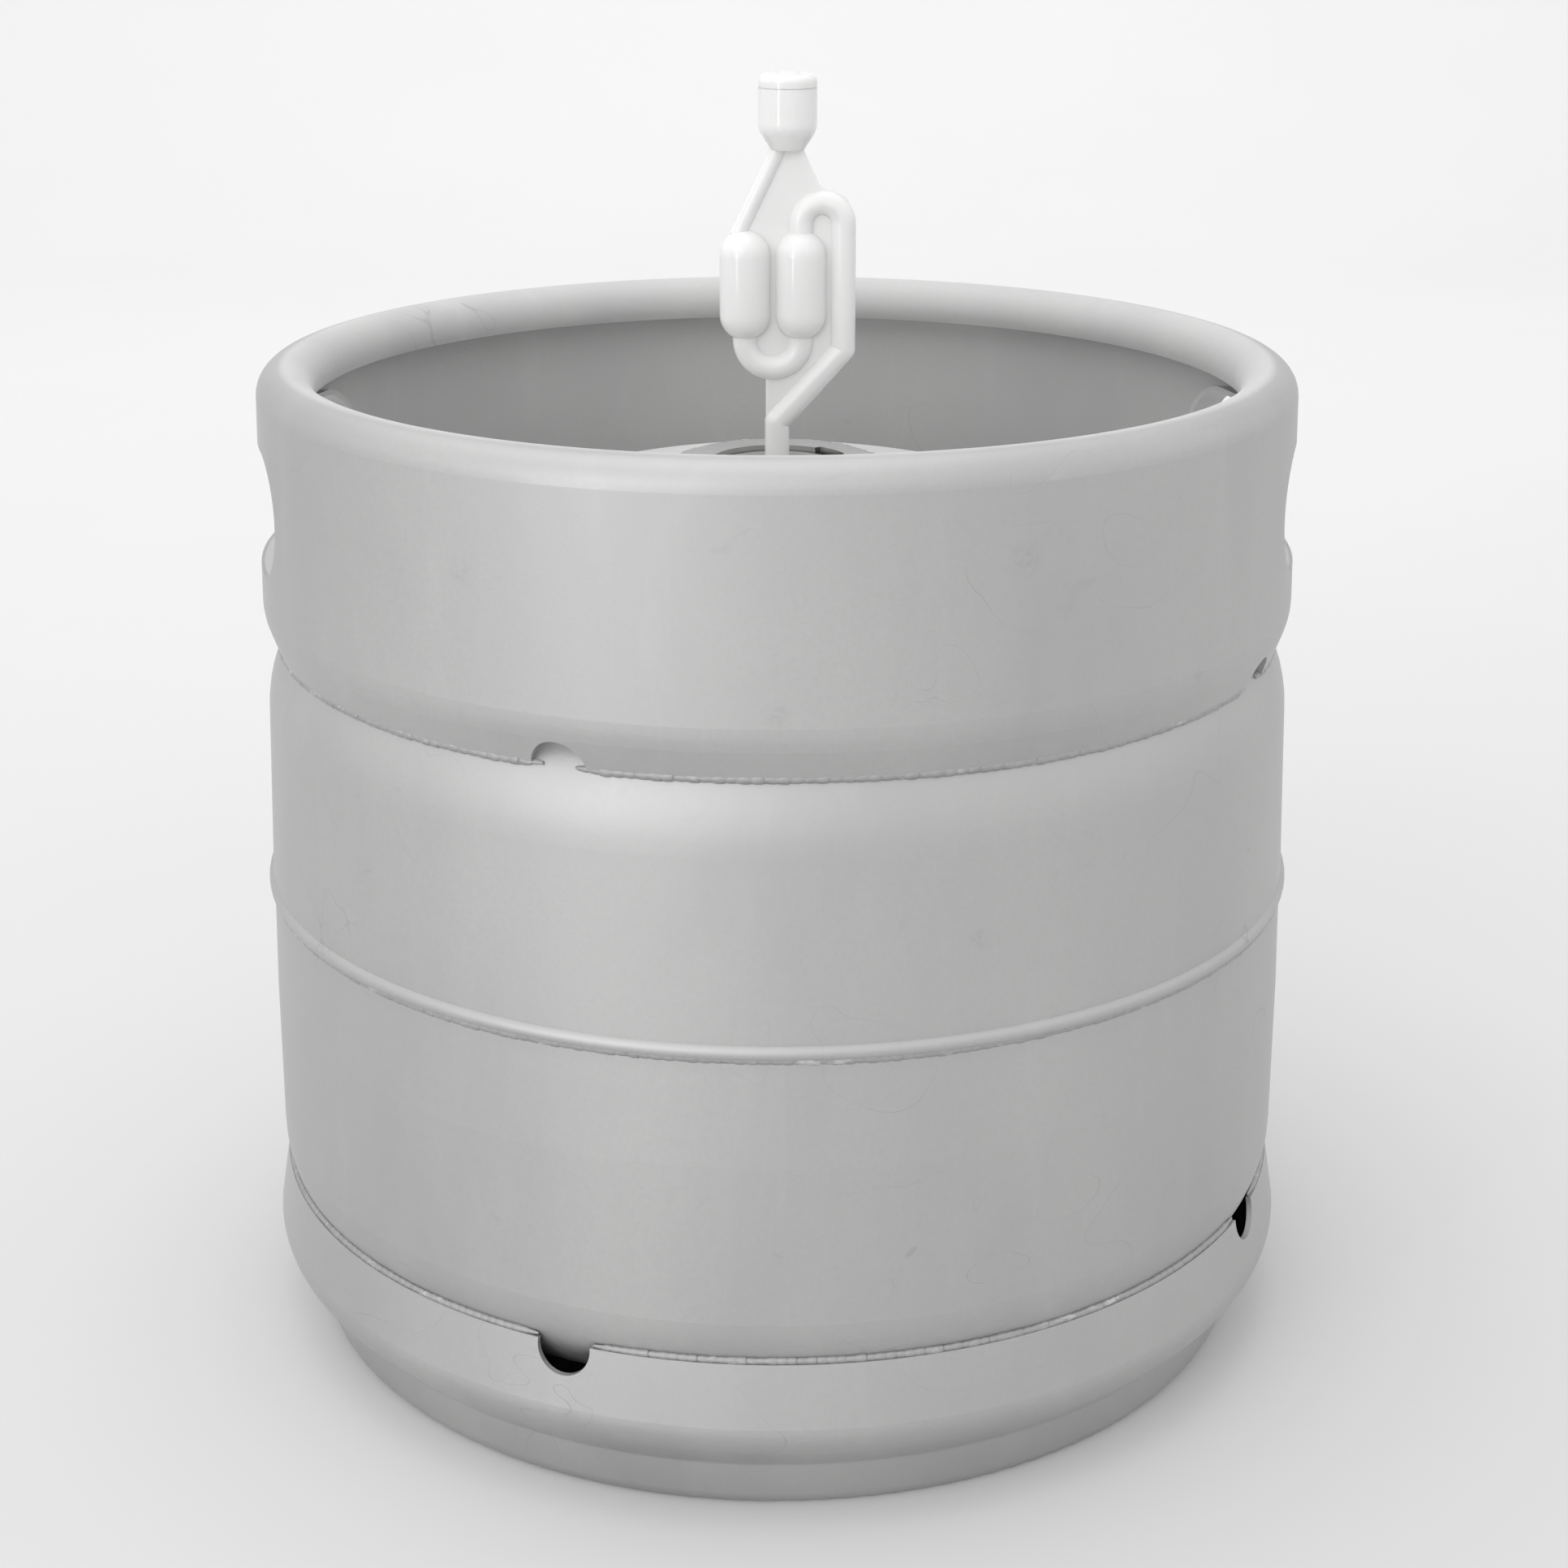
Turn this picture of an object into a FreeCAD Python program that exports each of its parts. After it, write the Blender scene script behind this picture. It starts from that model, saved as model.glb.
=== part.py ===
"""A stubby 30 litre stainless steel beer keg, stoppered for fermenting, with a twin-bubble airlock.

Millimetres, +Z up. The origin is the centre of the circle that the keg stands on, the keg's axis is Z,
and the airlock's flat side faces -Y. One STEP file is written for each piece.
"""

import FreeCAD
import Part
import math
import os

V = FreeCAD.Vector

# ---- keg: driving dimensions ----
RIM_R = 195.0            # outer radius of the top rim
HEIGHT = 378.0           # floor to the top of the rim
CHIME_T = 2.0            # sheet thickness of both chimes
SHELL_T = 1.5            # sheet thickness of the pressure vessel

# ---- pressure vessel ----
GIRTH_Z = 177.6          # lower edge of the upper shell, which laps over the lower shell
GIRTH_LAP = 2.6
CREST_R = 199.5          # the rolling ring that the lap makes, where it is widest
CREST_RISE = 2.0         # height of that place above the ring's lower edge
CREST_EDGE_R = 198.9     # its lower edge
CREST_H = 4.6
SHOULDER_R = 197.8       # wall just above the rolling ring
UPPER_R = 196.0          # wall where the upper knuckle starts
UPPER_KNUCKLE_Z = 247.0
UPPER_KNUCKLE = 54.0
CROWN_TOP_Z = 335.0
LAP_R = 197.6            # top edge of the lower shell, inside the lap
LOWER_R = 198.3          # wall where the lower knuckle starts
LOWER_KNUCKLE_Z = 79.0
LOWER_KNUCKLE = 40.0
CROWN_BOTTOM_Z = 15.0

# ---- top chime: its outer face runs from the welded foot through one bend to a straight wall ----
CHIME_FOOT_R = 191.3
CHIME_FOOT_Z = 273.0
WALL_R = 196.4
WALL_Z = 287.0
WALL_BEND = 24.0
BEAD_R = 10.5            # the rim's rolled bead
BEAD_END = 215.0         # degrees round the bead to where its tucked edge ends
GRIP_ANGLES = (1.2, 181.2)
GRIP_W = 150.0
GRIP_H = 46.0
GRIP_Z = 328.0
GRIP_LIP_T = 2.2         # the lip turned in round each hand-hold
GRIP_LIP_DEPTH = 10.0

# ---- bottom chime: corners of its outer face ----
SKIRT_TOP_R = 197.6
SKIRT_TOP_Z = 63.5
SKIRT_R = 202.4
SKIRT_Z = 33.5
SKIRT_BEND = 14.0
CREASE_R = 187.6
CREASE_Z = 18.5
CREASE_BEND = 3.0
FOOT_R = 179.0
FOOT_ROLL = 6.5          # radius of the rolled foot
FOOT_TAIL = 45.0         # degrees that the roll goes on past level, inside
FOOT_WEAR = 0.6          # depth of the flat that the keg has worn on its foot

# ---- drain notches, cut in the welded edges of both chimes ----
DRAIN_R = 10.0
DRAIN_ANGLES = (-112.0, -26.0, 68.0, 154.0)
TOP_DRAIN_Z = CHIME_FOOT_Z - 1.0
BOTTOM_DRAIN_Z = SKIRT_TOP_Z - 1.5

# ---- weld beads: radius of the bead, and the circles that their centres lie on ----
WELD_R = 1.9
TOP_WELD_R = CHIME_FOOT_R - 1.4
TOP_WELD_Z = CHIME_FOOT_Z - 0.4
BOTTOM_WELD_R = SKIRT_TOP_R - 1.4
BOTTOM_WELD_Z = SKIRT_TOP_Z + 0.6
GIRTH_WELD_R = LAP_R - 0.3
GIRTH_WELD_Z = GIRTH_Z - 0.5

# ---- neck and stopper ----
NECK_TOP_Z = 336.2
NECK_R = 38.0
NECK_BODY_R = 32.0
NECK_STEP_Z = 320.0
NECK_BOTTOM_Z = 293.0
NECK_LIP_R = 25.0
NECK_LIP_H = 6.2
NECK_BORE_R = 27.5
NECK_GROOVE_R = 29.5
NECK_GROOVE_Z = 321.0
NECK_GROOVE_H = 2.5
LUG_W = 16.0
NECK_WELD_R = NECK_R + 1.2
NECK_WELD_Z = CROWN_TOP_Z - 1.0
STOPPER_TOP_Z = 334.2
STOPPER_TOP_R = 24.7
STOPPER_BOTTOM_Z = 299.0
STOPPER_BOTTOM_R = 20.5

# ---- airlock, in the XZ plane ----
TUBE_R = 4.7
WALL = 1.2
STEM_BOTTOM_Z = 292.0
STEM_CLEARANCE = 0.05
ELBOW_Z = 350.9          # where the stem turns towards the riser
RISER_X = 24.9
RISER_BOTTOM_Z = 378.6
BEND_Z = 426.0           # centre of the top bend
LEFT_X = -12.1           # axis of the outlet bubble
RIGHT_X = 8.9            # axis of the inlet bubble
BUBBLE_R = 9.6
BUBBLE_LOW_Z = 382.2
BUBBLE_HIGH_Z = 424.0
OUTLET_R = 3.1
CUP_X = 3.9
CUP_R = 11.0
CUP_BASE_Z = 453.5
CUP_BASE_R = 6.2
CUP_SHOULDER_Z = 461.0
CUP_SHOULDER_BEND = 9.0
CUP_TOP_Z = 476.4
CUP_T = 1.3
WEB_T = 2.4

# ---- cap ----
CAP_H = 5.0
CAP_ROUND = 3.0
CAP_PLUG_H = 6.5
CAP_PLUG_T = 1.0
CAP_FIT = 0.15
VENT_R = 1.0
VENT_CIRCLE_R = 5.5
VENTS = 4


# ---- helpers ----
def at(r, z):
    """The point at radius r and height z in the XZ plane."""
    return V(r, 0, z)


def bends(corners):
    """Straight runs joined by tangent arcs: corners are (point, bend radius), and both ends are points."""
    edges = []
    here = corners[0][0]
    for (before, _), (corner, radius), (after, _) in zip(corners, corners[1:], corners[2:]):
        back = (before - corner).normalize()
        on = (after - corner).normalize()
        half = back.getAngle(on) / 2
        first = corner + back * (radius / math.tan(half))
        last = corner + on * (radius / math.tan(half))
        middle = corner + (back + on).normalize() * (radius / math.sin(half) - radius)
        edges.append(Part.makeLine(here, first))
        edges.append(Part.Arc(first, middle, last).toShape())
        here = last
    edges.append(Part.makeLine(here, corners[-1][0]))
    return edges


def tangent_angle(centre, radius, point, side):
    """Where a line from the point touches the circle, in degrees round it; side picks one of the two."""
    way = math.degrees(math.atan2(point.z - centre.z, point.x - centre.x))
    return way + side * math.degrees(math.acos(radius / (point - centre).Length))


def on_circle(centre, radius, degrees):
    """A point of a circle in the XZ plane, counted from +X towards +Z."""
    a = math.radians(degrees)
    return centre + V(radius * math.cos(a), 0, radius * math.sin(a))


def arc_edge(centre, radius, first, last):
    """An arc in the XZ plane between two angles in degrees."""
    ends = [on_circle(centre, radius, a) for a in (first, (first + last) / 2, last)]
    return Part.Arc(*ends).toShape()


def sheet(edges, thickness):
    """A bent sheet swept round the keg's axis: edges are one face of it, and it is thickened inwards."""
    return turned(Part.Wire(edges).makeOffset2D(thickness, 0, True, True, False))


def turned(face):
    """The face swept once round the keg's axis."""
    return face.revolve(V(0, 0, 0), V(0, 0, 1), 360)


def profile(corners):
    """A closed polygon of (radius, height) corners as a face in the XZ plane."""
    points = [V(r, 0, z) for r, z in corners]
    return Part.Face(Part.makePolygon(points + points[:1]))


def spun(shape, angle):
    """A copy of the shape turned about the keg's axis."""
    copy = shape.copy()
    copy.rotate(V(0, 0, 0), V(0, 0, 1), angle)
    return copy


def radial_cylinder(radius, z, angle):
    """A cylinder pointing out from the keg's axis, long enough to pass through a wall."""
    return spun(Part.makeCylinder(radius, 80, V(150, 0, z), V(1, 0, 0)), angle)


def fused(shapes):
    """One solid from several that overlap."""
    return shapes[0].fuse(shapes[1:]).removeSplitter()


def export(name, shape):
    """Writes the piece's solids to its STEP file."""
    solids = shape.Solids
    assert solids and all(s.isValid() for s in solids), name
    whole = solids[0] if len(solids) == 1 else Part.makeCompound(solids)
    whole.exportStep("parts/" + name + ".step")
    print(name, len(solids), "solid(s)", round(sum(s.Volume for s in solids)), "mm3")


# ---- pressure vessel ----
def head_edges(wall_r, start_z, knuckle, peak_z, hole_r, way):
    """The knuckle and crown arcs of a dished head, which meet smoothly; way is 1 upwards or -1 downwards."""
    centre_r = wall_r - knuckle
    rise = abs(peak_z - start_z)
    crown = (centre_r ** 2 + rise ** 2 - knuckle ** 2) / (2 * (rise - knuckle))
    crown_z = start_z + way * (rise - crown)
    meet = math.degrees(math.atan2(crown - rise, centre_r))
    hole = math.degrees(math.acos(hole_r / crown))
    return [
        arc_edge(at(centre_r, start_z), knuckle, 0, way * meet),
        arc_edge(at(0, crown_z), crown, way * meet, way * hole),
    ]


def upper_shell():
    top_of_ring = at(SHOULDER_R, GIRTH_Z + CREST_H)
    ring = Part.Arc(at(CREST_EDGE_R, GIRTH_Z), at(CREST_R, GIRTH_Z + CREST_RISE), top_of_ring).toShape()
    wall = Part.makeLine(top_of_ring, at(UPPER_R, UPPER_KNUCKLE_Z))
    head = head_edges(UPPER_R, UPPER_KNUCKLE_Z, UPPER_KNUCKLE, CROWN_TOP_Z, NECK_R + 0.3, 1)
    return sheet([ring, wall] + head, SHELL_T)


def lower_shell():
    wall = Part.makePolygon([
        at(LAP_R, GIRTH_Z + GIRTH_LAP),
        at(LAP_R, GIRTH_Z - 6),
        at(LOWER_R, GIRTH_Z - 40),
        at(LOWER_R, LOWER_KNUCKLE_Z),
    ])
    head = head_edges(LOWER_R, LOWER_KNUCKLE_Z, LOWER_KNUCKLE, CROWN_BOTTOM_Z, 0, -1)
    return sheet(wall.Edges + head, -SHELL_T)


# ---- chimes ----
def obround(width, height, x0, x1, z):
    """A slot shape, long across Y, running from x0 to x1."""
    r = height / 2
    half = width / 2 - r
    bar = Part.makeBox(x1 - x0, 2 * half, height, V(x0, -half, z - r))
    ends = [Part.makeCylinder(r, x1 - x0, V(x0, y, z), V(1, 0, 0)) for y in (-half, half)]
    return fused([bar] + ends)


def grip_lip(wall):
    """The turned-in edge of a hand-hold, on the +X side, from the wall's outer face inwards."""
    collar = obround(GRIP_W + 2 * GRIP_LIP_T, GRIP_H + 2 * GRIP_LIP_T, RIM_R / 2, WALL_R + 10, GRIP_Z)
    top = wall[-1].Vertexes[-1].Point
    closing = Part.makePolygon([top, at(0, top.z), at(0, CHIME_FOOT_Z), at(CHIME_FOOT_R, CHIME_FOOT_Z)]).Edges
    collar = collar.common(turned(Part.Face(Part.Wire(wall + closing))))
    return collar.cut(Part.makeCylinder(WALL_R - GRIP_LIP_DEPTH, HEIGHT))


def top_chime():
    bead = at(RIM_R - BEAD_R, HEIGHT - BEAD_R)
    corner = at(WALL_R, WALL_Z)
    start = tangent_angle(bead, BEAD_R, corner, 1)
    wall = bends([
        (at(CHIME_FOOT_R, CHIME_FOOT_Z), 0),
        (corner, WALL_BEND),
        (on_circle(bead, BEAD_R, start), 0),
    ])
    chime = sheet(wall + [arc_edge(bead, BEAD_R, start, BEAD_END)], CHIME_T)
    lip = grip_lip(wall)
    hole = obround(GRIP_W, GRIP_H, RIM_R / 2, WALL_R + 10, GRIP_Z)
    for angle in GRIP_ANGLES:
        chime = chime.fuse(spun(lip, angle))
    for angle in GRIP_ANGLES:
        chime = chime.cut(spun(hole, angle))
    for angle in DRAIN_ANGLES:
        chime = chime.cut(radial_cylinder(DRAIN_R, TOP_DRAIN_Z, angle))
    return chime


def bottom_chime():
    foot = at(FOOT_R, FOOT_ROLL - FOOT_WEAR)
    crease = at(CREASE_R, CREASE_Z)
    start = tangent_angle(foot, FOOT_ROLL, crease, -1)
    end = -180 - FOOT_TAIL
    tail = on_circle(foot, FOOT_ROLL, end)
    outline = bends([
        (at(SKIRT_TOP_R, SKIRT_TOP_Z), 0),
        (at(SKIRT_R, SKIRT_Z), SKIRT_BEND),
        (crease, CREASE_BEND),
        (on_circle(foot, FOOT_ROLL, start), 0),
    ])
    chime = sheet(outline + [arc_edge(foot, FOOT_ROLL, start, end)], -CHIME_T)
    chime = chime.cut(Part.makeCylinder(RIM_R + 20, 10, V(0, 0, -10)))
    for angle in DRAIN_ANGLES:
        chime = chime.cut(radial_cylinder(DRAIN_R, BOTTOM_DRAIN_Z, angle))
    return chime


# ---- weld beads: each sinks into the sheets that it joins ----
def weld_ring(radius, z):
    """A bead all the way round."""
    return Part.makeTorus(radius, WELD_R, V(0, 0, z))


def weld_runs(radius, z):
    """A bead that stops at the drain notches: one run between each notch and the next."""
    stop = math.degrees(math.asin((DRAIN_R + 0.5) / radius))
    section = Part.Face(Part.Wire(Part.Circle(at(radius, z), V(0, 1, 0), WELD_R).toShape()))
    runs = []
    for here, after in zip(DRAIN_ANGLES, DRAIN_ANGLES[1:] + (DRAIN_ANGLES[0] + 360,)):
        run = section.revolve(V(0, 0, 0), V(0, 0, 1), after - here - 2 * stop)
        runs.append(spun(run, here + stop))
    return Part.makeCompound(runs)


# ---- neck and stopper ----
def neck_fitting():
    section = profile([
        (NECK_LIP_R, NECK_TOP_Z), (NECK_R - 1, NECK_TOP_Z), (NECK_R, NECK_TOP_Z - 1),
        (NECK_R, NECK_STEP_Z), (NECK_BODY_R, NECK_STEP_Z - 3), (NECK_BODY_R, NECK_BOTTOM_Z),
        (NECK_BORE_R, NECK_BOTTOM_Z), (NECK_BORE_R, NECK_GROOVE_Z),
        (NECK_GROOVE_R, NECK_GROOVE_Z), (NECK_GROOVE_R, NECK_GROOVE_Z + NECK_GROOVE_H),
        (NECK_BORE_R, NECK_GROOVE_Z + NECK_GROOVE_H), (NECK_BORE_R, NECK_TOP_Z - NECK_LIP_H),
        (NECK_LIP_R, NECK_TOP_Z - NECK_LIP_H),
    ])
    neck = turned(section)
    slot = Part.makeBox(2 * NECK_BORE_R, LUG_W, NECK_LIP_H + 2,
                        V(-NECK_BORE_R, -LUG_W / 2, NECK_TOP_Z - NECK_LIP_H - 1))
    slot = slot.common(Part.makeCylinder(NECK_BORE_R, 20, V(0, 0, NECK_TOP_Z - 10)))
    return neck.cut(spun(slot, 35))


def stopper():
    height = STOPPER_TOP_Z - STOPPER_BOTTOM_Z
    body = Part.makeCone(STOPPER_BOTTOM_R, STOPPER_TOP_R, height, V(0, 0, STOPPER_BOTTOM_Z))
    body = body.makeFillet(1.2, body.Edges[0:1] + body.Edges[2:3])
    hole = Part.makeCylinder(TUBE_R + STEM_CLEARANCE, height + 4, V(0, 0, STOPPER_BOTTOM_Z - 2))
    return body.cut(hole)


# ---- airlock ----
def tube(radius, start, end):
    """A straight round bar between two points (x, z) of the airlock's plane."""
    a, b = V(start[0], 0, start[1]), V(end[0], 0, end[1])
    return Part.makeCylinder(radius, (b - a).Length, a, b - a)


def ball(radius, x, z):
    return Part.makeSphere(radius, V(x, 0, z))


def half_bend(radius, centre_x, centre_z, bend_r, way):
    """Half a torus in the airlock's plane, over the top for way 1 and under the bottom for way -1."""
    circle = Part.Circle(V(centre_x + bend_r, 0, centre_z), V(0, 0, 1), radius)
    disc = Part.Face(Part.Wire(circle.toShape()))
    return disc.revolve(V(centre_x, 0, centre_z), V(0, -way, 0), 180)


def bubble(radius, x, shrink):
    """An upright capsule."""
    low = BUBBLE_LOW_Z + radius + shrink
    high = BUBBLE_HIGH_Z - radius - shrink
    return fused([tube(radius, (x, low), (x, high)), ball(radius, x, low), ball(radius, x, high)])


def waterway(offset):
    """Everything that the gas and water run through, made thinner than the outside by the offset."""
    r = TUBE_R - offset
    middle = (LEFT_X + RIGHT_X) / 2
    bend_x = (RISER_X + RIGHT_X) / 2
    bottom = STEM_BOTTOM_Z - (1 if offset else 0)
    return [
        tube(r, (0, bottom), (0, ELBOW_Z)),
        ball(r, 0, ELBOW_Z),
        tube(r, (0, ELBOW_Z), (RISER_X, RISER_BOTTOM_Z)),
        ball(r, RISER_X, RISER_BOTTOM_Z),
        tube(r, (RISER_X, RISER_BOTTOM_Z), (RISER_X, BEND_Z)),
        half_bend(r, bend_x, BEND_Z, RISER_X - bend_x, 1),
        tube(r, (RIGHT_X, BEND_Z), (RIGHT_X, BUBBLE_HIGH_Z - BUBBLE_R)),
        bubble(BUBBLE_R - offset, RIGHT_X, offset),
        tube(r, (RIGHT_X, BUBBLE_LOW_Z + BUBBLE_R), (RIGHT_X, BUBBLE_LOW_Z)),
        half_bend(r, middle, BUBBLE_LOW_Z, RIGHT_X - middle, -1),
        tube(r, (LEFT_X, BUBBLE_LOW_Z), (LEFT_X, BUBBLE_LOW_Z + BUBBLE_R)),
        bubble(BUBBLE_R - offset, LEFT_X, offset),
        tube(OUTLET_R - offset, (LEFT_X - 2.8, BUBBLE_HIGH_Z - 2.2), (CUP_X - 2.4, CUP_BASE_Z + 2.4)),
    ]


def cup(offset):
    """The open cup on top, made smaller all round by the offset for its inside."""
    base = CUP_BASE_Z + offset
    top = CUP_TOP_Z + (1 if offset else 0)
    wall_r = CUP_R - offset
    outline = bends([
        (at(0, base), 0),
        (at(CUP_BASE_R - offset, base), 1.0),
        (at(wall_r, CUP_SHOULDER_Z + offset), CUP_SHOULDER_BEND),
        (at(wall_r, top), 0),
    ])
    closing = Part.makePolygon([at(wall_r, top), at(0, top), at(0, base)]).Edges
    bowl = turned(Part.Face(Part.Wire(outline + closing)))
    bowl.translate(V(CUP_X, 0, 0))
    return bowl


def web():
    """The flat plate that ties the tubes together."""
    edge = RISER_X + TUBE_R - 0.6
    corners = [
        (-TUBE_R + 0.4, ELBOW_Z - 1), (-TUBE_R + 0.4, 370.0), (LEFT_X, 376.0), (LEFT_X, 420.0),
        (CUP_X - 6.0, CUP_BASE_Z - 1), (CUP_X - 4.0, CUP_BASE_Z + 2), (CUP_X + 5.6, CUP_BASE_Z + 1),
        (15.9, 440.6), (18.9, 438.9), (22.7, 438.0), (26.5, 435.3), (28.5, 430.0),
        (edge, BEND_Z), (edge, RISER_BOTTOM_Z), (3.0, ELBOW_Z - 1),
    ]
    points = [V(x, -WEB_T / 2, z) for x, z in corners]
    return Part.Face(Part.makePolygon(points + points[:1])).extrude(V(0, WEB_T, 0))


def airlock_body():
    outside = fused(waterway(0) + [cup(0), web()])
    inside = fused(waterway(WALL) + [cup(CUP_T)])
    return outside.cut(inside)


def half_of(body, side):
    """The part of the body on the -Y side for side -1, or the +Y side for side 1."""
    y = -50 if side < 0 else 0
    return body.common(Part.makeBox(100, 50, 300, V(-50, y, 250)))


def airlock_cap():
    disc = Part.makeCylinder(CUP_R, CAP_H, V(CUP_X, 0, CUP_TOP_Z + 0.1))
    top_edge = [e for e in disc.Edges if abs(e.BoundBox.ZMin - CUP_TOP_Z - 0.1 - CAP_H) < 1e-6]
    disc = disc.makeFillet(CAP_ROUND, top_edge[:1])
    plug_r = CUP_R - CUP_T - CAP_FIT
    plug = Part.makeCylinder(plug_r, CAP_PLUG_H + 0.1, V(CUP_X, 0, CUP_TOP_Z - CAP_PLUG_H))
    hollow_h = CAP_PLUG_H + CAP_H - 1.5
    hollow = Part.makeCylinder(plug_r - CAP_PLUG_T, hollow_h, V(CUP_X, 0, CUP_TOP_Z - CAP_PLUG_H))
    cap = disc.fuse(plug).cut(hollow)
    for i in range(VENTS):
        a = 2 * math.pi * (i + 0.5) / VENTS
        start = V(CUP_X + VENT_CIRCLE_R * math.cos(a), VENT_CIRCLE_R * math.sin(a), CUP_TOP_Z - 1)
        cap = cap.cut(Part.makeCylinder(VENT_R, CAP_H + 4, start))
    return cap


# ---- build ----
os.makedirs("parts", exist_ok=True)

body = airlock_body()

export("upper_shell", upper_shell())
export("lower_shell", lower_shell())
export("top_chime", top_chime())
export("bottom_chime", bottom_chime())
export("neck_fitting", neck_fitting())
export("stopper", stopper())
export("airlock_front_half", half_of(body, -1))
export("airlock_back_half", half_of(body, 1))
export("airlock_cap", airlock_cap())
export("top_chime_weld", weld_runs(TOP_WELD_R, TOP_WELD_Z))
export("bottom_chime_weld", weld_runs(BOTTOM_WELD_R, BOTTOM_WELD_Z))
export("girth_weld", weld_ring(GIRTH_WELD_R, GIRTH_WELD_Z))
export("neck_weld", weld_ring(NECK_WELD_R, NECK_WELD_Z))
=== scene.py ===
"""A stubby steel beer keg with a rubber stopper and a twin-bubble airlock, on a plain pale floor."""
import bpy
import math
import random
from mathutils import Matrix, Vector


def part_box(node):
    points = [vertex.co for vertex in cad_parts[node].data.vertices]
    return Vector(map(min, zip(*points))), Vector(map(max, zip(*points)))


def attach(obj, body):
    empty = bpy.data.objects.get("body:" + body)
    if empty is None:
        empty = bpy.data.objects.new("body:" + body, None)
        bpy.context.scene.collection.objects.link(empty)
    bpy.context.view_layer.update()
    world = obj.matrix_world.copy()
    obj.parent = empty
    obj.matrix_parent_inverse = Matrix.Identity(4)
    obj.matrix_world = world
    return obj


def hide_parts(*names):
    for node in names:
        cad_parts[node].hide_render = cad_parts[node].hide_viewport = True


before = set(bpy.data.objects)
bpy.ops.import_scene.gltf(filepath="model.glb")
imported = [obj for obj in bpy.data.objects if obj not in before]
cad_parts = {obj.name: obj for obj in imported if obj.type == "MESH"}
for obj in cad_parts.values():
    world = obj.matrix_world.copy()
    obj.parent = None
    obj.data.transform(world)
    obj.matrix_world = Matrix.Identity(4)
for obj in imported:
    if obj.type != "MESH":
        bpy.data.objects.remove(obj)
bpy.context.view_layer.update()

# ---- camera: where it stands, in metres and degrees ----
CAMERA_AT = (0.0, -1.0194, 0.5625)
CAMERA_DOWN = 16.12
LENS = 62.4
SHIFT = (0.0044, -0.0983)

# ---- studio ----
FLOOR_HALF = 6.0
FLOOR_BACK = 2.6         # where the floor starts to curve up behind the keg
BACK_BEND = 2.2
BACK_HEIGHT = 5.0
WORLD_LIGHT = 1.08

# ---- the keg: its steel, and the space inside the top chime ----
STEEL_ROUGH = 0.58
WELL_WALL_R = 0.1946     # just outside the inner face of the chime's straight wall
WELL_WALL_LOW = 0.290
WELL_WALL_HIGH = 0.358   # under the rolled rim
DOME_R = 0.1840
DOME_LOW = 0.262
# painted light: how much paler the steel is painted inside the top chime, where the well is in shade
WELL_PAINTED_LIGHT = 1.28
WELL_ROUGHER = 0.24

# ---- the keg's weld lines ----
NOTCH_ANGLES = (-112.0, -26.0, 68.0, 154.0)
NOTCH_R = 0.0105
NOTCH_RUN_IN = 0.0045    # how far the upper bead runs on into its notches
WELD_R = 0.0019          # the plain beads in the CAD


# ---- node helpers ----
def new_material(name):
    """An empty node material with a Principled shader; returns the material, its tree and the shader."""
    material = bpy.data.materials.new(name)
    material.use_nodes = True
    tree = material.node_tree
    return material, tree, tree.nodes["Principled BSDF"]


def place(tree, scale, offset=(0.0, 0.0, 0.0)):
    """Object coordinates stretched by scale."""
    coords = tree.nodes.new("ShaderNodeTexCoord")
    mapping = tree.nodes.new("ShaderNodeMapping")
    mapping.inputs["Scale"].default_value = scale
    mapping.inputs["Location"].default_value = offset
    tree.links.new(coords.outputs["Object"], mapping.inputs["Vector"])
    return mapping.outputs["Vector"]


def noise(tree, scale, size=1.0, detail=4.0, rough=0.55, distortion=0.0, offset=(0.0, 0.0, 0.0)):
    """Noise over object coordinates; returns its factor."""
    node = tree.nodes.new("ShaderNodeTexNoise")
    node.inputs["Scale"].default_value = size
    node.inputs["Detail"].default_value = detail
    node.inputs["Roughness"].default_value = rough
    node.inputs["Distortion"].default_value = distortion
    tree.links.new(place(tree, scale, offset), node.inputs["Vector"])
    return node.outputs["Fac"]


def spread(tree, value, low, high, to_low=0.0, to_high=1.0):
    """Maps low..high to to_low..to_high, clamped."""
    node = tree.nodes.new("ShaderNodeMapRange")
    node.inputs["From Min"].default_value = low
    node.inputs["From Max"].default_value = high
    node.inputs["To Min"].default_value = to_low
    node.inputs["To Max"].default_value = to_high
    tree.links.new(value, node.inputs["Value"])
    return node.outputs["Result"]


def math_node(tree, operation, a, b=0.0):
    """A Math node on one or two values, each a socket or a number."""
    node = tree.nodes.new("ShaderNodeMath")
    node.operation = operation
    for socket, value in zip(node.inputs, (a, b)):
        if isinstance(value, (int, float)):
            socket.default_value = value
        else:
            tree.links.new(value, socket)
    return node.outputs[0]


def line_mask(tree, scale, size, width, distortion, offset):
    """Thin curved lines: where a slow noise crosses its middle value."""
    field = noise(tree, scale, size, 1.0, 0.4, distortion, offset)
    away = math_node(tree, "ABSOLUTE", math_node(tree, "SUBTRACT", field, 0.5))
    return spread(tree, away, 0.0, width, 1.0, 0.0)


def mix_colour(tree, factor, a, b):
    """Mixes two colours, each a socket or a tuple, by a factor socket."""
    node = tree.nodes.new("ShaderNodeMix")
    node.data_type = "RGBA"
    tree.links.new(factor, node.inputs["Factor"])
    for socket, value in ((node.inputs[6], a), (node.inputs[7], b)):
        if isinstance(value, tuple):
            socket.default_value = (*value, 1.0)
        else:
            tree.links.new(value, socket)
    return node.outputs[2]


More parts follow.
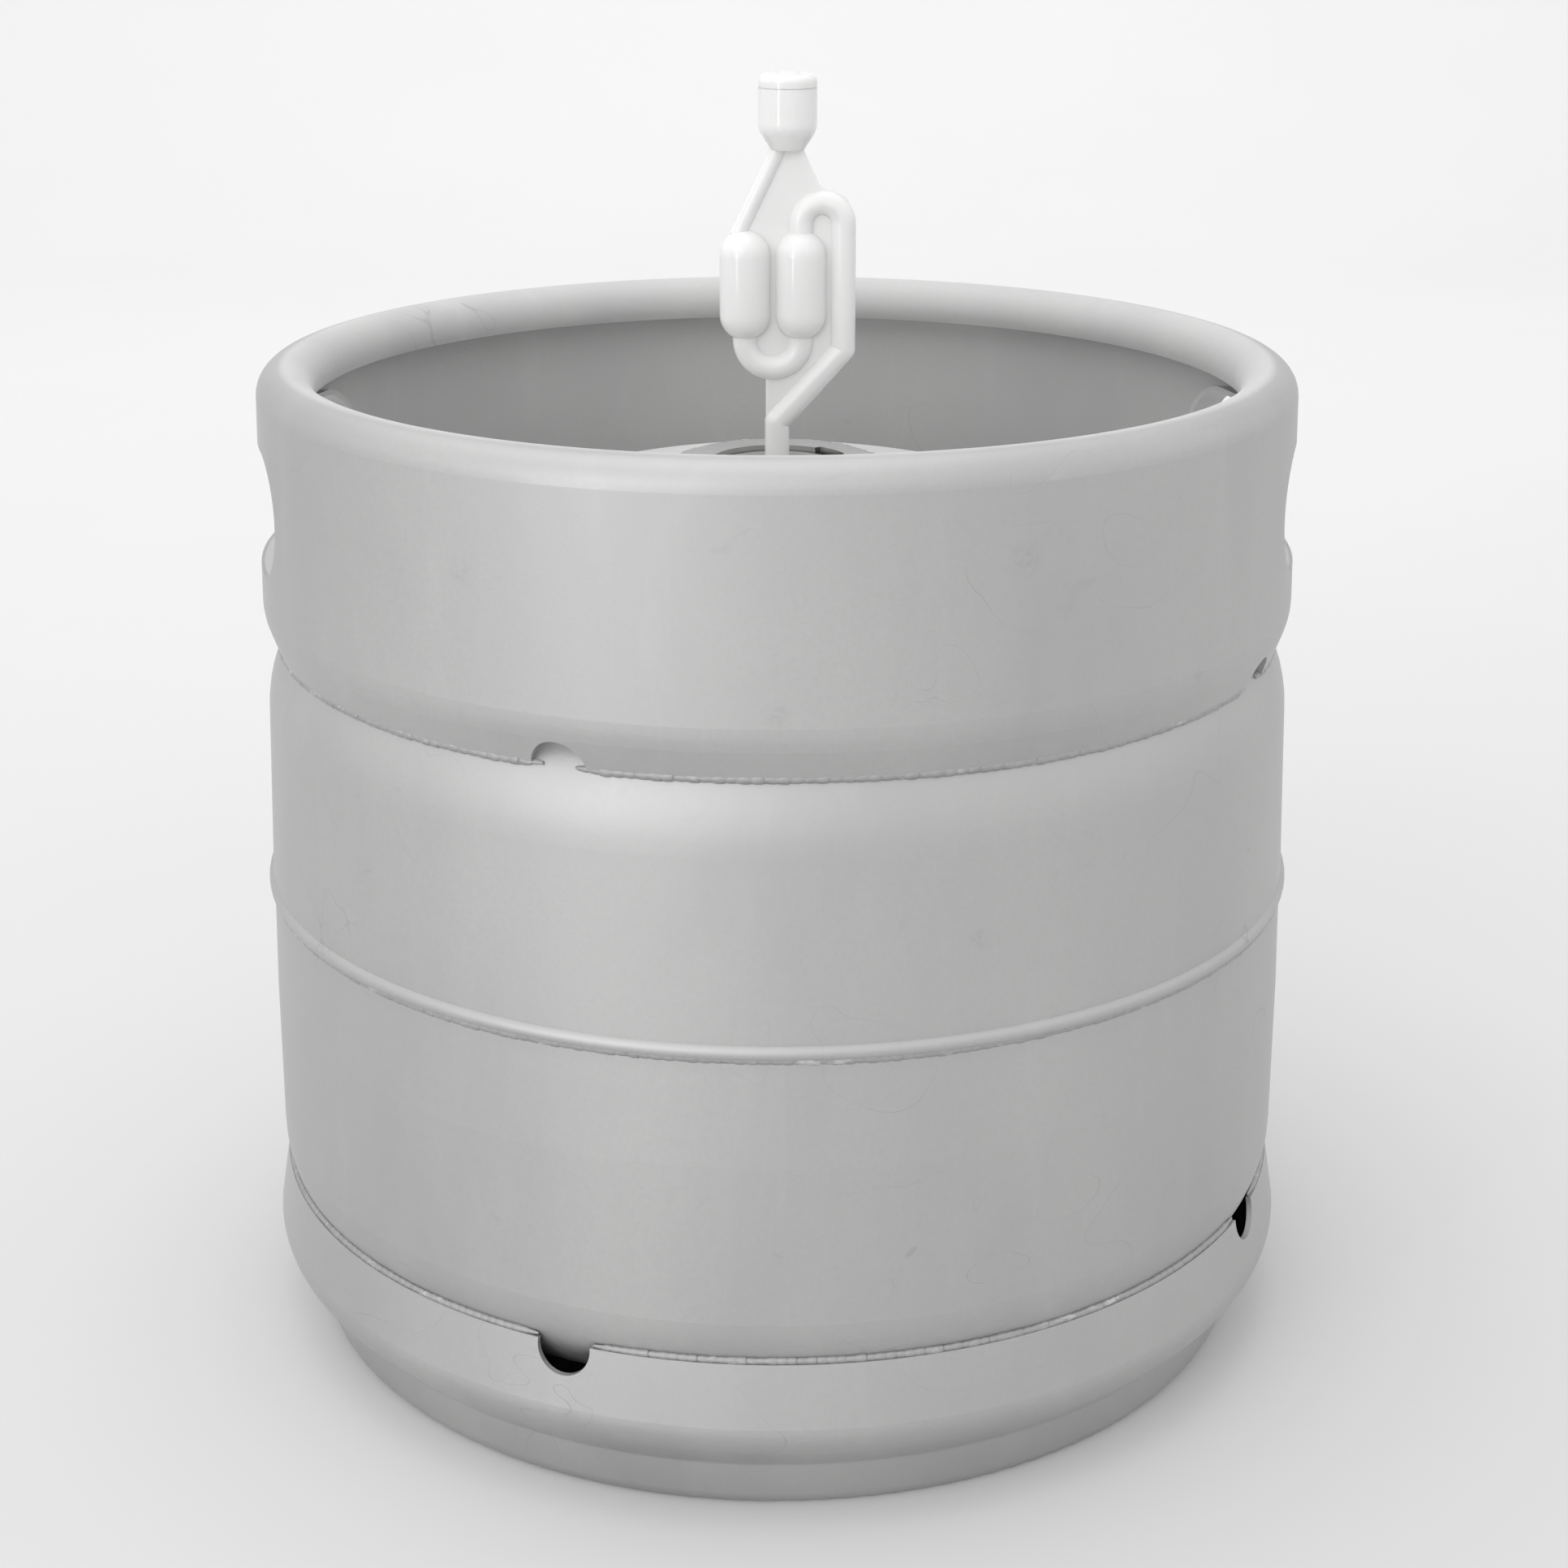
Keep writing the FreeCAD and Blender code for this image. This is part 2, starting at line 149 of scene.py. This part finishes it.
def bump(tree, height, strength, distance, before=None):
    """A Bump node on a height socket, on top of an earlier normal if there is one."""
    node = tree.nodes.new("ShaderNodeBump")
    node.inputs["Strength"].default_value = strength
    node.inputs["Distance"].default_value = distance
    tree.links.new(height, node.inputs["Height"])
    if before is not None:
        tree.links.new(before, node.inputs["Normal"])
    return node.outputs["Normal"]


# ---- materials ----
def marks(tree, spots):
    """A mask of small smudges: spots are (degrees round the keg, height, radius, half size), in metres."""
    total = None
    for turn, height, radius, half in spots:
        a = math.radians(turn)
        coords = tree.nodes.new("ShaderNodeTexCoord")
        away = tree.nodes.new("ShaderNodeVectorMath")
        away.operation = "DISTANCE"
        away.inputs[1].default_value = (radius * math.cos(a), radius * math.sin(a), height)
        tree.links.new(coords.outputs["Object"], away.inputs[0])
        one = spread(tree, away.outputs["Value"], 0.1 * half, half, 1.0, 0.0)
        total = one if total is None else math_node(tree, "MAXIMUM", total, one)
    broken = spread(tree, noise(tree, (420, 420, 420), 1.0, 3.0, 0.7, 0.5), 0.42, 0.62)
    return math_node(tree, "MULTIPLY", total, broken)


def well_painted_light_mask(tree):
    """A mask of the space inside the top chime: there the steel's colour is painted paler, as painted light in
    that shaded well, and its roughness is raised.
    """
    split = tree.nodes.new("ShaderNodeSeparateXYZ")
    tree.links.new(place(tree, (1, 1, 1)), split.inputs[0])
    across = math_node(tree, "MULTIPLY", split.outputs["X"], split.outputs["X"])
    along = math_node(tree, "MULTIPLY", split.outputs["Y"], split.outputs["Y"])
    radius = math_node(tree, "SQRT", math_node(tree, "ADD", across, along))
    height = split.outputs["Z"]
    in_dome = spread(tree, radius, DOME_R + 0.003, DOME_R, 0.0, 1.0)
    dome = math_node(tree, "MULTIPLY", in_dome, spread(tree, height, DOME_LOW, DOME_LOW + 0.013))
    above_foot = spread(tree, height, WELL_WALL_LOW, WELL_WALL_LOW + 0.004)
    below_rim = spread(tree, height, WELL_WALL_HIGH, WELL_WALL_HIGH - 0.004, 0.0, 1.0)
    beside_wall = spread(tree, radius, WELL_WALL_R + 0.0004, WELL_WALL_R, 0.0, 1.0)
    wall = math_node(tree, "MULTIPLY", beside_wall, math_node(tree, "MULTIPLY", above_foot, below_rim))
    return math_node(tree, "MAXIMUM", dome, wall)


def steel(name, tone, offset, spots):
    """Pickled and blasted stainless sheet: a close matt mottle, hair scratches, smudges and faint runs, with
    painted light that makes it paler inside the top chime.
    """
    material, tree, shader = new_material(name)
    shader.inputs["Metallic"].default_value = 1.0
    cloud = noise(tree, (11, 11, 5), 1.0, 4.0, 0.55, 0.3, offset)
    speckle = noise(tree, (620, 620, 620), 1.0, 3.0, 0.75, 0.0, offset)
    grain = noise(tree, (1900, 1900, 1900), 1.0, 2.0, 0.6, 0.0, offset)
    runs = noise(tree, (46, 46, 7), 1.0, 4.0, 0.6, 0.4, offset)
    smear = noise(tree, (26, 26, 70), 1.0, 6.0, 0.7, 0.8, offset)
    light = (1.04 * tone, 1.04 * tone, 1.035 * tone)
    dark = (0.95 * tone, 0.95 * tone, 0.95 * tone)
    colour = mix_colour(tree, spread(tree, cloud, 0.34, 0.66), dark, light)
    colour = mix_colour(tree, spread(tree, speckle, 0.36, 0.60, 0.30, 0.0), colour, (0.86 * tone,) * 3)
    colour = mix_colour(tree, spread(tree, runs, 0.58, 0.72, 0.0, 0.16), colour, (1.16 * tone,) * 3)
    colour = mix_colour(tree, spread(tree, smear, 0.64, 0.80, 0.0, 0.30), colour, (0.70 * tone,) * 3)
    lines = line_mask(tree, (15, 15, 15), 1.0, 0.0026, 1.3, offset)
    patches = spread(tree, noise(tree, (8, 8, 8), 1.0, 2.0, 0.5, 0.0, (3.1, 1.7, 0.4)), 0.54, 0.64)
    hairs = math_node(tree, "MULTIPLY", lines, patches)
    colour = mix_colour(tree, spread(tree, hairs, 0.0, 1.0, 0.0, 0.30), colour, (0.55 * tone,) * 3)
    # painted light: the colour is scaled paler inside the top chime, where the well is in shade
    bloom_and_painted_light = well_painted_light_mask(tree)
    painted_well_light = tree.nodes.new("ShaderNodeVectorMath")
    painted_well_light.operation = "SCALE"
    tree.links.new(colour, painted_well_light.inputs[0])
    tree.links.new(spread(tree, bloom_and_painted_light, 0.0, 1.0, 1.0, WELL_PAINTED_LIGHT), painted_well_light.inputs["Scale"])
    colour = painted_well_light.outputs["Vector"]
    smudge = marks(tree, spots)
    colour = mix_colour(tree, spread(tree, smudge, 0.0, 1.0, 0.0, 0.22), colour, (0.55 * tone,) * 3)
    tree.links.new(colour, shader.inputs["Base Color"])
    roughness = spread(tree, cloud, 0.3, 0.7, STEEL_ROUGH - 0.03, STEEL_ROUGH + 0.04)
    roughness = math_node(tree, "ADD", roughness, spread(tree, speckle, 0.3, 0.7, -0.03, 0.03))
    roughness = math_node(tree, "ADD", roughness, math_node(tree, "MULTIPLY", bloom_and_painted_light, WELL_ROUGHER))
    tree.links.new(roughness, shader.inputs["Roughness"])
    normal = bump(tree, grain, 0.12, 0.0002)
    normal = bump(tree, speckle, 0.10, 0.0003, normal)
    normal = bump(tree, math_node(tree, "MULTIPLY", hairs, -1.0), 0.3, 0.0001, normal)
    tree.links.new(normal, shader.inputs["Normal"])
    return material


def machined_steel():
    """Turned stainless: brighter, with fine rings round the axis."""
    material, tree, shader = new_material("machined_steel")
    shader.inputs["Metallic"].default_value = 1.0
    mottle = noise(tree, (40, 40, 40), 1.0, 4.0, 0.6)
    rings = tree.nodes.new("ShaderNodeTexWave")
    rings.wave_type = "RINGS"
    rings.rings_direction = "Z"
    rings.inputs["Scale"].default_value = 900.0
    rings.inputs["Distortion"].default_value = 0.4
    tree.links.new(place(tree, (1, 1, 1)), rings.inputs["Vector"])
    colour = mix_colour(tree, mottle, (0.56, 0.56, 0.56), (0.68, 0.68, 0.675))
    tree.links.new(colour, shader.inputs["Base Color"])
    tree.links.new(spread(tree, mottle, 0.3, 0.7, 0.14, 0.26), shader.inputs["Roughness"])
    tree.links.new(bump(tree, rings.outputs["Fac"], 0.12, 0.0001), shader.inputs["Normal"])
    return material


def weld_steel():
    """Weld metal: dull and a little darker than the sheet, with bright flecks that pickling left."""
    material, tree, shader = new_material("weld_steel")
    shader.inputs["Metallic"].default_value = 1.0
    mottle = noise(tree, (210, 210, 210), 1.0, 4.0, 0.6)
    flecks = noise(tree, (95, 95, 260), 1.0, 3.0, 0.7, 0.0, (1.3, 0.2, 0.6))
    grain = noise(tree, (2200, 2200, 2200), 1.0, 2.0, 0.6)
    colour = mix_colour(tree, spread(tree, mottle, 0.3, 0.7), (0.38, 0.38, 0.38), (0.46, 0.46, 0.46))
    colour = mix_colour(tree, spread(tree, flecks, 0.58, 0.66), colour, (0.58, 0.58, 0.58))
    tree.links.new(colour, shader.inputs["Base Color"])
    tree.links.new(spread(tree, mottle, 0.3, 0.7, 0.58, 0.72), shader.inputs["Roughness"])
    tree.links.new(bump(tree, grain, 0.15, 0.0002), shader.inputs["Normal"])
    return material


def rubber():
    """Grey stopper rubber with a dusty bloom and a fine moulded texture."""
    material, tree, shader = new_material("stopper_rubber")
    bloom_and_painted_light = noise(tree, (60, 60, 60), 1.0, 5.0, 0.65)
    pores = noise(tree, (1400, 1400, 1400), 1.0, 2.0, 0.6)
    colour = mix_colour(tree, spread(tree, bloom_and_painted_light, 0.35, 0.7), (0.20, 0.20, 0.19), (0.27, 0.27, 0.26))
    tree.links.new(colour, shader.inputs["Base Color"])
    tree.links.new(spread(tree, bloom_and_painted_light, 0.3, 0.7, 0.62, 0.8), shader.inputs["Roughness"])
    tree.links.new(bump(tree, pores, 0.3, 0.0002), shader.inputs["Normal"])
    return material


def milky_plastic(name, tone):
    """Milky moulded plastic: cloudy flow marks, a soft gloss and a fine haze."""
    material, tree, shader = new_material(name)
    flow = noise(tree, (70, 70, 28), 1.0, 2.0, 0.5, 0.3)
    haze = noise(tree, (900, 900, 900), 1.0, 2.0, 0.6)
    colour = mix_colour(tree, spread(tree, flow, 0.3, 0.7), (0.985 * tone, 0.985 * tone, 0.98 * tone),
                        (tone, tone, 0.995 * tone))
    tree.links.new(colour, shader.inputs["Base Color"])
    tree.links.new(spread(tree, flow, 0.3, 0.7, 0.12, 0.20), shader.inputs["Roughness"])
    tree.links.new(bump(tree, haze, 0.05, 0.0002), shader.inputs["Normal"])
    shader.inputs["IOR"].default_value = 1.49
    shader.inputs["Subsurface Weight"].default_value = 0.35
    shader.inputs["Subsurface Radius"].default_value = (1.0, 1.0, 1.0)
    shader.inputs["Subsurface Scale"].default_value = 0.002
    return material


def paint(node, material):
    """Gives a CAD node's surface this material."""
    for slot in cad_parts[node].material_slots:
        slot.material = material


# ---- weld beads ----
def add_run(verts, faces, radius, z, tube, first, last, pitch, rng, flat):
    """One run of a rippled bead from first to last degrees; a run of 360 degrees closes on itself."""
    whole = abs(last - first - 360) < 1e-6
    steps = 8
    around = 14
    count = round(math.radians(last - first) * radius / pitch) * steps
    rings = count if whole else count + 1
    lean = [rng.uniform(-0.3, 0.3) for _ in range(count // steps + 2)]
    lift = [rng.uniform(0.90, 1.08) for _ in range(count // steps + 2)]
    start = len(verts)
    for i in range(rings):
        scale, within = divmod(i, steps)
        t = within / steps
        a0 = math.radians(first + (last - first) * i / count)
        fade = 1.0 if whole else min(1.0, 0.35 + 0.3 * min(i, count - i) / steps)
        swell = tube * fade * lift[scale] * (0.86 + 0.14 * math.sin(math.pi * t) ** 0.7)
        drift = tube * 0.10 * math.sin(7.3 * a0) + tube * 0.08 * lean[scale]
        for j in range(around):
            b0 = 2 * math.pi * j / around
            a = a0 + 0.35 * pitch / radius * math.cos(b0 / 2) * lean[scale]
            r = radius + swell * flat * math.cos(b0)
            verts.append((r * math.cos(a), r * math.sin(a), z + drift + swell * math.sin(b0)))
    for i in range(count):
        here = start + i * around
        there = start + ((i + 1) % rings) * around
        for j in range(around):
            k = (j + 1) % around
            faces.append((here + j, there + j, there + k, here + k))
    if not whole:
        end = start + count * around
        faces.append(tuple(start + j for j in range(around)))
        faces.append(tuple(end + j for j in reversed(range(around))))


def bead(name, material, tube, pitch, seed, gap=None, flat=0.8):
    """A rippled weld bead in place of the CAD node of that name; gap is its half width at each drain notch."""
    rng = random.Random(seed)
    low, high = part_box(name)
    radius = high[0] - WELD_R
    z = low[2] + WELD_R
    verts, faces = [], []
    if gap:
        stop = math.degrees(math.asin(gap / radius))
        for here, after in zip(NOTCH_ANGLES, NOTCH_ANGLES[1:] + (NOTCH_ANGLES[0] + 360.0,)):
            add_run(verts, faces, radius, z, tube, here + stop, after - stop, pitch, rng, flat)
    else:
        add_run(verts, faces, radius, z, tube, 0.0, 360.0, pitch, rng, flat)
    mesh = bpy.data.meshes.new(name + "_bead")
    mesh.from_pydata(verts, [], faces)
    mesh.update()
    for polygon in mesh.polygons:
        polygon.use_smooth = True
    piece = bpy.data.objects.new(name + "_bead", mesh)
    bpy.context.scene.collection.objects.link(piece)
    mesh.materials.append(material)
    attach(piece, "keg")
    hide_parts(name)


# ---- stage, lights and camera ----
def studio():
    """A plain pale floor that curves up behind, an even pale surround and soft lights."""
    steps = 24
    line = [(-FLOOR_HALF, 0.0), (FLOOR_BACK, 0.0)]
    for i in range(1, steps + 1):
        a = math.pi / 2 * i / steps
        line.append((FLOOR_BACK + BACK_BEND * math.sin(a), BACK_BEND * (1 - math.cos(a))))
    line.append((FLOOR_BACK + BACK_BEND, BACK_HEIGHT))
    verts = [(x, y, z) for y, z in line for x in (-FLOOR_HALF, FLOOR_HALF)]
    faces = [(2 * i, 2 * i + 1, 2 * i + 3, 2 * i + 2) for i in range(len(line) - 1)]
    mesh = bpy.data.meshes.new("floor")
    mesh.from_pydata(verts, [], faces)
    for polygon in mesh.polygons:
        polygon.use_smooth = True
    floor = bpy.data.objects.new("floor", mesh)
    bpy.context.scene.collection.objects.link(floor)
    material, tree, shader = new_material("floor_white")
    tree.links.new(mix_colour(tree, noise(tree, (3, 3, 3)), (0.62, 0.62, 0.62), (0.64, 0.64, 0.64)),
                   shader.inputs["Base Color"])
    shader.inputs["Roughness"].default_value = 0.9
    shader.inputs["Specular IOR Level"].default_value = 0.1
    mesh.materials.append(material)
    world = bpy.data.worlds.new("studio")
    world.use_nodes = True
    world.node_tree.nodes["Background"].inputs["Color"].default_value = (1.0, 1.0, 1.0, 1.0)
    world.node_tree.nodes["Background"].inputs["Strength"].default_value = WORLD_LIGHT
    bpy.context.scene.world = world
    softbox("key", (-1.5, -2.5, 1.45), (0, 0, 0.2), (2.4, 2.6), 21.0)
    softbox("strip", (-1.37, -1.89, 0.42), (0, 0, 0.3), (0.12, 0.8), 4.0)
    softbox("top", (-0.6, 0.0, 3.2), (0, 0.0, 0.0), (2.6, 2.6), 20.0)
    softbox("backdrop", (0.0, 1.8, 3.0), (0, 4.2, 0.6), (4.0, 1.2), 50.0)


def softbox(name, place_at, target, size, power):
    """A rectangular area light that faces a point."""
    lamp = bpy.data.lights.new(name, "AREA")
    lamp.shape = "RECTANGLE"
    lamp.size, lamp.size_y = size
    lamp.energy = power
    holder = bpy.data.objects.new(name, lamp)
    holder.location = place_at
    holder.rotation_euler = (Vector(target) - Vector(place_at)).to_track_quat("-Z", "Y").to_euler()
    bpy.context.scene.collection.objects.link(holder)


def camera():
    lens = bpy.data.cameras.new("camera")
    lens.lens = LENS
    lens.sensor_width = 36.0
    lens.shift_x, lens.shift_y = SHIFT
    lens.clip_end = 60.0
    holder = bpy.data.objects.new("camera", lens)
    holder.location = CAMERA_AT
    holder.rotation_euler = (math.radians(90 - CAMERA_DOWN), 0.0, 0.0)
    bpy.context.scene.collection.objects.link(holder)
    bpy.context.scene.camera = holder


# ---- making ----
camera()
studio()
bpy.context.scene.view_settings.view_transform = "Standard"

# ---- smudges: degrees round the keg, height, radius and half size ----
CHIME_MARKS = (
    (-122.0, 0.335, 0.1955, 0.006),
    (-66.0, 0.343, 0.1954, 0.008),
    (-90.0, 0.296, 0.1962, 0.006),
    (-43.0, 0.290, 0.1962, 0.004),
    (-108.0, 0.0215, 0.191, 0.016),
    (-100.0, 0.0225, 0.192, 0.012),
    (-92.0, 0.0235, 0.193, 0.010),
)
SHELL_MARKS = (
    (-90.0, 0.105, 0.1983, 0.004),
    (-70.0, 0.215, 0.197, 0.005),
    (150.0, 0.120, 0.1983, 0.006),
    (40.0, 0.225, 0.197, 0.005),
)
chime = steel("chime_steel", 0.50, (0.0, 0.0, 0.0), CHIME_MARKS)
shell = steel("shell_steel", 0.505, (2.3, 0.7, 1.1), SHELL_MARKS)
plastic = milky_plastic("airlock_plastic", 0.79)
cap_plastic = milky_plastic("cap_plastic", 0.77)
for node, material in (
    ("top_chime", chime), ("bottom_chime", chime), ("upper_shell", shell), ("lower_shell", shell),
    ("neck_fitting", machined_steel()), ("stopper", rubber()),
    ("airlock_front_half", plastic), ("airlock_back_half", plastic), ("airlock_cap", cap_plastic),
):
    paint(node, material)
weld = weld_steel()
bead("top_chime_weld", weld, 0.0019, 0.0042, 3, NOTCH_R - NOTCH_RUN_IN, 0.95)
bead("bottom_chime_weld", weld, 0.0015, 0.0034, 5, NOTCH_R, 0.8)
bead("girth_weld", weld, 0.0019, 0.0040, 7, None, 0.75)
bead("neck_weld", weld, 0.0017, 0.0036, 9)
